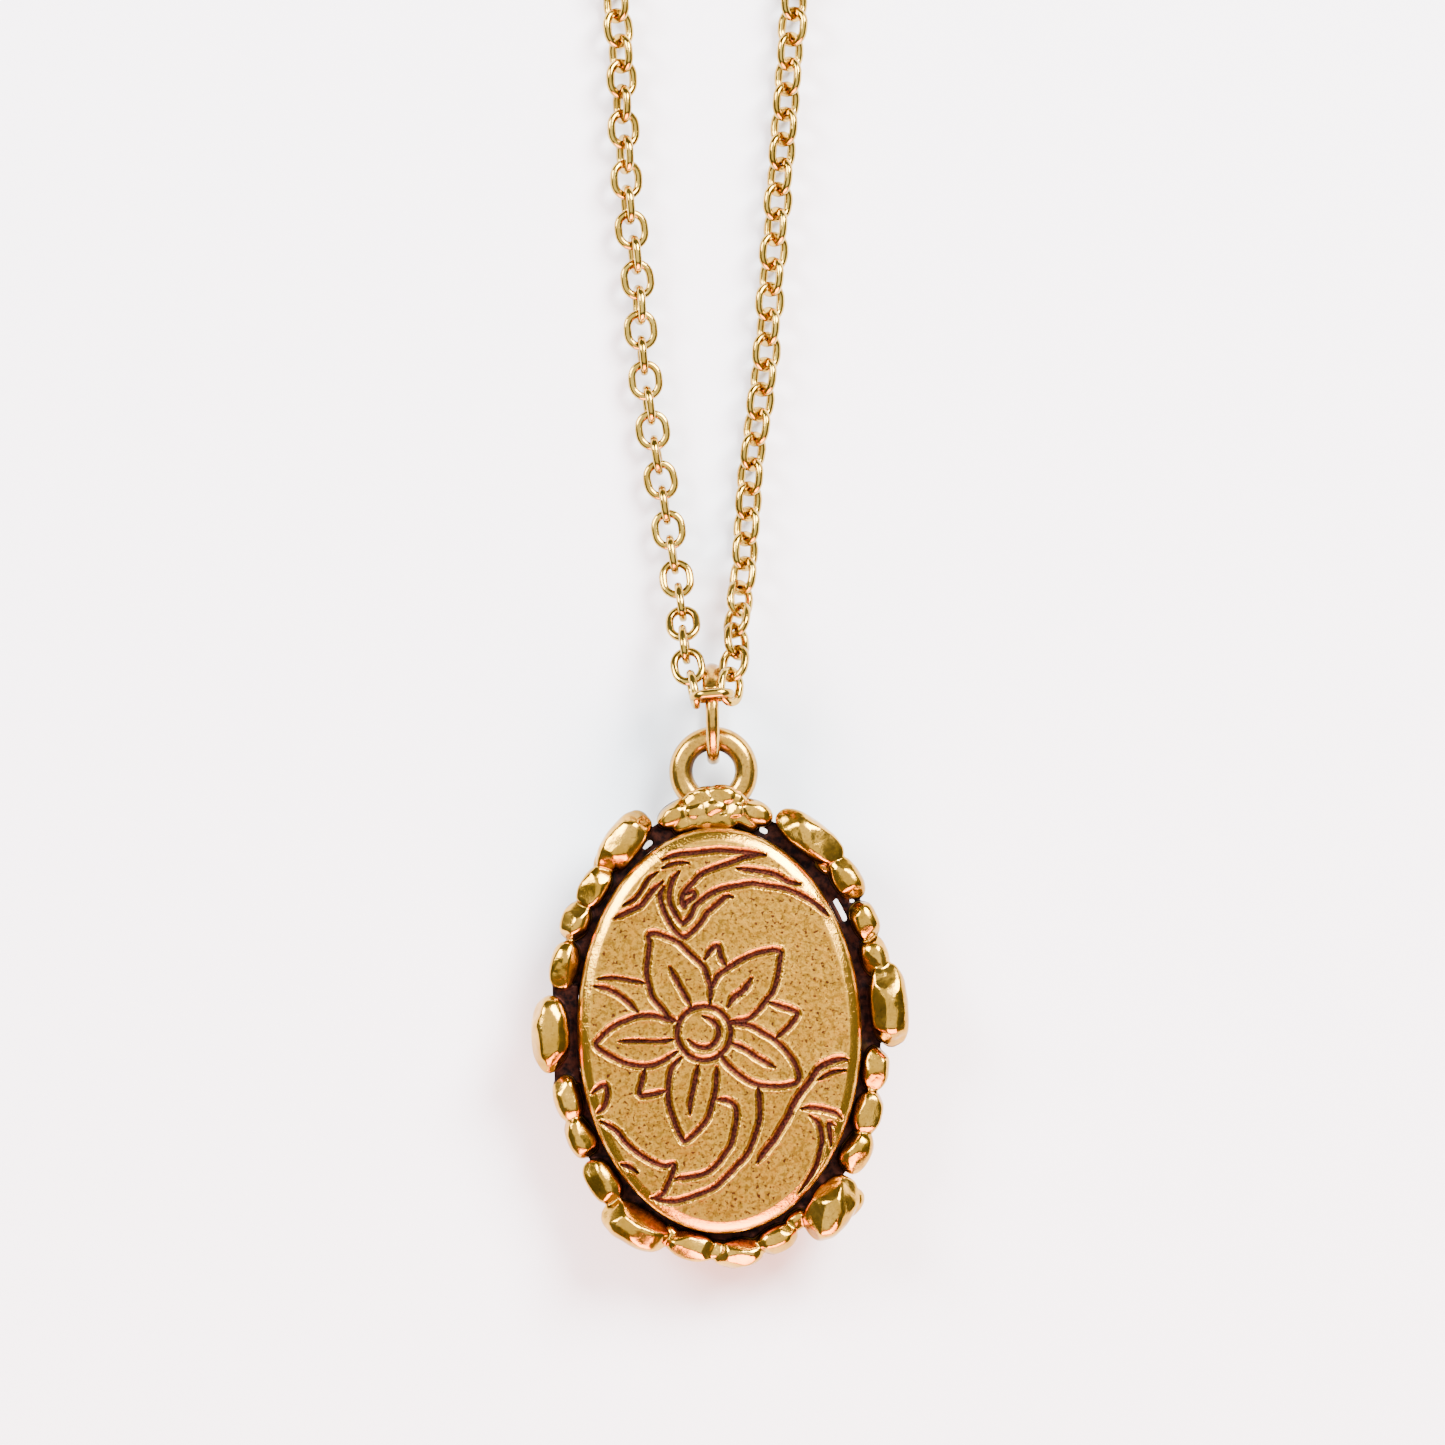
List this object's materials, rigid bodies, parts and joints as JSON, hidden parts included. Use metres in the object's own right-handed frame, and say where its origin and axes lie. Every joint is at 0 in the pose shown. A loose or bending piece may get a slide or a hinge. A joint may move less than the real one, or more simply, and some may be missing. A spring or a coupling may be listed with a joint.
{
  "type": "pendant locket on a chain",
  "caption": "Oval hinged locket with an engraved raised face, a border of metal nuggets, a round bail and a jump ring on a fine cable chain with a lobster clasp.",
  "frame": {"origin": "centre of the flat oval back, on the surface that it rests on", "axes": "+Z out of the engraved face, +Y towards the bail and the chain, +X to the right of the face"},
  "size_m": [0.0288, 0.1212, 0.0062],
  "materials": {
    "engraved_gold": "antique gold plate, satin face with dark patina in the engraving",
    "nugget_gold": "polished cast antique gold with black patina in the recesses",
    "bail_gold": "polished antique gold plate",
    "case_gold": "brushed antique gold plate",
    "chain_gold": "bright polished yellow gold plate",
    "pin_steel": "drawn wire",
    "clear_window": "clear, thin and glossy",
    "blank_card": "matt ivory card"
  },
  "bodies": {
    "chain": {"chain_left_run": "chain_gold", "chain_left_hank": "chain_gold", "chain_right_run": "chain_gold", "chain_right_hank": "chain_gold", "hank_tie": "blank_card", "clasp_ring": "chain_gold", "clasp_body": "chain_gold", "clasp_pin": "pin_steel", "clasp_spring": "pin_steel", "end_ring": "chain_gold"},
    "link": {"centre_link": "chain_gold"},
    "ring": {"jump_ring": "chain_gold"},
    "pendant": {"back_case": "case_gold", "lip_band": "case_gold", "catch_bead": "case_gold", "bail_ring": "bail_gold", "hinge_knuckles_back": "case_gold", "hinge_pin": "pin_steel", "photo_frame_back": "case_gold", "window_back": "clear_window", "photo_card_back": "blank_card"},
    "cover": {"front_cover": "engraved_gold", "nugget_frame": "nugget_gold", "hinge_knuckle_front": "case_gold", "photo_frame_front": "case_gold", "window_front": "clear_window", "photo_card_front": "blank_card"},
    "lever": {"clasp_lever": "chain_gold"}
  },
  "joints": [
    {"name": "link_roll", "type": "hinge", "parent": "chain", "child": "link", "pos_m": [0, 0.01873, 0.00526], "axis": [-1, 0, 0], "range_deg": [0, 30]},
    {"name": "ring_swing", "type": "hinge", "parent": "link", "child": "ring", "pos_m": [0, 0.01859, 0.00449], "axis": [-1, 0, 0], "range_deg": [0, 30]},
    {"name": "pendant_swing", "type": "hinge", "parent": "ring", "child": "pendant", "pos_m": [0, 0.01632, 0.0025], "axis": [-1, 0, 0], "range_deg": [0, 50]},
    {"name": "cover_hinge", "type": "hinge", "parent": "pendant", "child": "cover", "pos_m": [-0.0093, 0, 0.0028], "axis": [0, -1, 0], "range_deg": [0, 170]},
    {"name": "lever_turn", "type": "hinge", "parent": "chain", "child": "lever", "pos_m": [-0.0076, 0.07165, 0.0009], "axis": [0, 0, -1], "range_deg": [0, 18], "stiffness_Nm_per_rad": 0.001, "springref_deg": -17.19, "deforming": ["clasp_spring"]}
  ]
}
